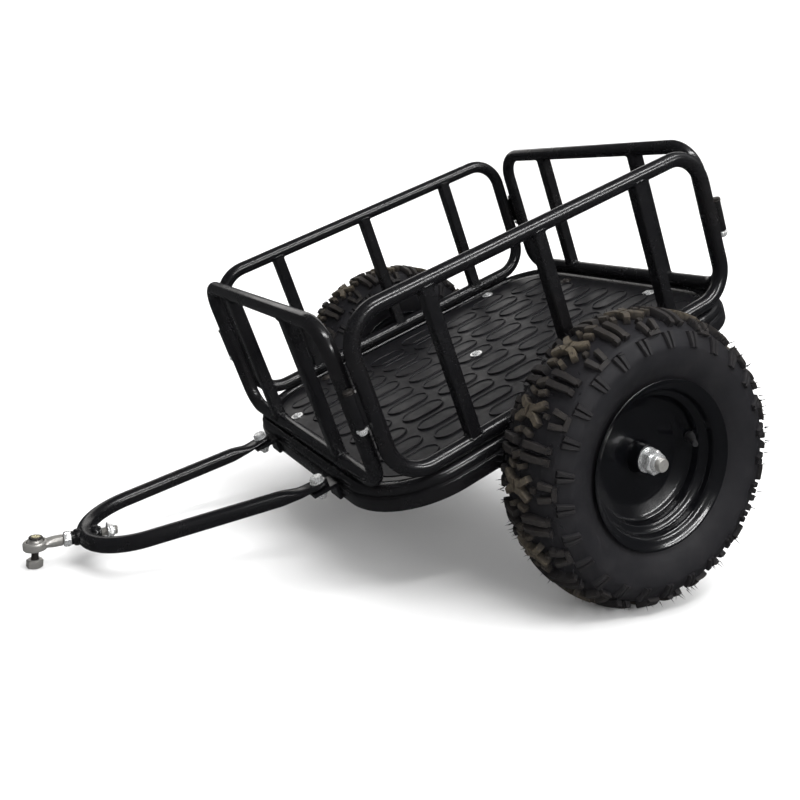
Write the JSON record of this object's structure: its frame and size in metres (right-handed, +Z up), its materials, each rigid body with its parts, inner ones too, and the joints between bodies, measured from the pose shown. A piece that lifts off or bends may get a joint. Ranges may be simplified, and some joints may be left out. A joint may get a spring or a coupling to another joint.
{
  "type": "tow-behind cart",
  "caption": "Low two-wheeled utility cart with tubular side and end rails, a rubber-matted bed, off-road tyres, a bent-tube drawbar and a ball-joint hitch.",
  "frame": {"origin": "centre of the bounding box's underside, on the ground that the cart rests on", "axes": "+X towards the hitch, +Y to the cart's left, +Z up; the bed slopes nose down because the hitch rests on the ground"},
  "size_m": [1.0162, 0.823, 0.647],
  "materials": {
    "frame_paint": "gloss black powder coat on bent steel tube and plate",
    "rim_paint": "gloss black paint on a pressed steel rim",
    "tyre": "moulded off-road rubber, satin, lightly dusty on the tread",
    "floor_mat": "charcoal rubber sheet with a raised non-slip pattern",
    "zinc": "bright zinc plating",
    "dark_steel": "oiled dark steel"
  },
  "bodies": {
    "chassis": {"axle": "dark_steel", "axle_beam": "frame_paint", "axle_bracket_left": "frame_paint", "axle_bracket_right": "frame_paint", "axle_nut_left": "zinc", "axle_nut_right": "zinc", "corner_barrel_front_left": "frame_paint", "corner_barrel_front_right": "frame_paint", "corner_barrel_rear_left": "frame_paint", "corner_barrel_rear_right": "frame_paint", "corner_bolt_front_left": "zinc", "corner_bolt_front_right": "zinc", "corner_bolt_rear_left": "zinc", "corner_bolt_rear_right": "zinc", "corner_nut_front_left": "zinc", "corner_nut_front_right": "zinc", "corner_nut_rear_left": "zinc", "corner_nut_rear_right": "zinc", "deck_plate": "frame_paint", "drawbar": "frame_paint", "drawbar_bolt_left": "zinc", "drawbar_bolt_right": "zinc", "drawbar_nut_left": "zinc", "drawbar_nut_right": "zinc", "drawbar_sleeve": "frame_paint", "drawbar_tab_left": "frame_paint", "drawbar_tab_right": "frame_paint", "floor_mat": "floor_mat", "frame_ring": "frame_paint", "frame_skirt": "frame_paint", "post_front_left": "frame_paint", "post_front_right": "frame_paint", "post_left_front": "frame_paint", "post_left_middle": "frame_paint", "post_left_rear": "frame_paint", "post_rear_left": "frame_paint", "post_rear_right": "frame_paint", "post_right_front": "frame_paint", "post_right_middle": "frame_paint", "post_right_rear": "frame_paint", "rail_front": "frame_paint", "rail_left": "frame_paint", "rail_rear": "frame_paint", "rail_right": "frame_paint"},
    "left_wheel": {"tyre_left": "tyre", "rim_left": "rim_paint", "hub_left": "rim_paint", "bearing_left_inner": "zinc", "bearing_left_outer": "zinc"},
    "right_wheel": {"tyre_right": "tyre", "rim_right": "rim_paint", "hub_right": "rim_paint", "bearing_right_inner": "zinc", "bearing_right_outer": "zinc"},
    "rod_end_housing": {"rod_end": "zinc", "jam_nut": "zinc", "shank_nut": "zinc"},
    "ball": {"rod_end_ball": "zinc"},
    "stud": {"hitch_stud": "dark_steel", "stud_nut": "dark_steel"}
  },
  "joints": [
    {"name": "wheel_left_spin", "type": "hinge", "parent": "chassis", "child": "left_wheel", "pos_m": [-0.22352, 0.3505, 0.20257], "axis": [0, 1, 0], "continuous": true},
    {"name": "wheel_right_spin", "type": "hinge", "parent": "chassis", "child": "right_wheel", "pos_m": [-0.22352, -0.3505, 0.20257], "axis": [0, 1, 0], "continuous": true},
    {"name": "hitch_roll", "type": "hinge", "parent": "chassis", "child": "rod_end_housing", "pos_m": [0.49161, 0, 0.03], "axis": [0.9947, 0, -0.103], "range_deg": [-30, 30]},
    {"name": "ball_tilt", "type": "hinge", "parent": "rod_end_housing", "child": "ball", "pos_m": [0.49161, 0, 0.03], "axis": [0, 1, 0], "range_deg": [-10, 20]},
    {"name": "stud_turn", "type": "hinge", "parent": "ball", "child": "stud", "pos_m": [0.49161, 0, 0.03], "axis": [0, 0, 1], "continuous": true}
  ]
}
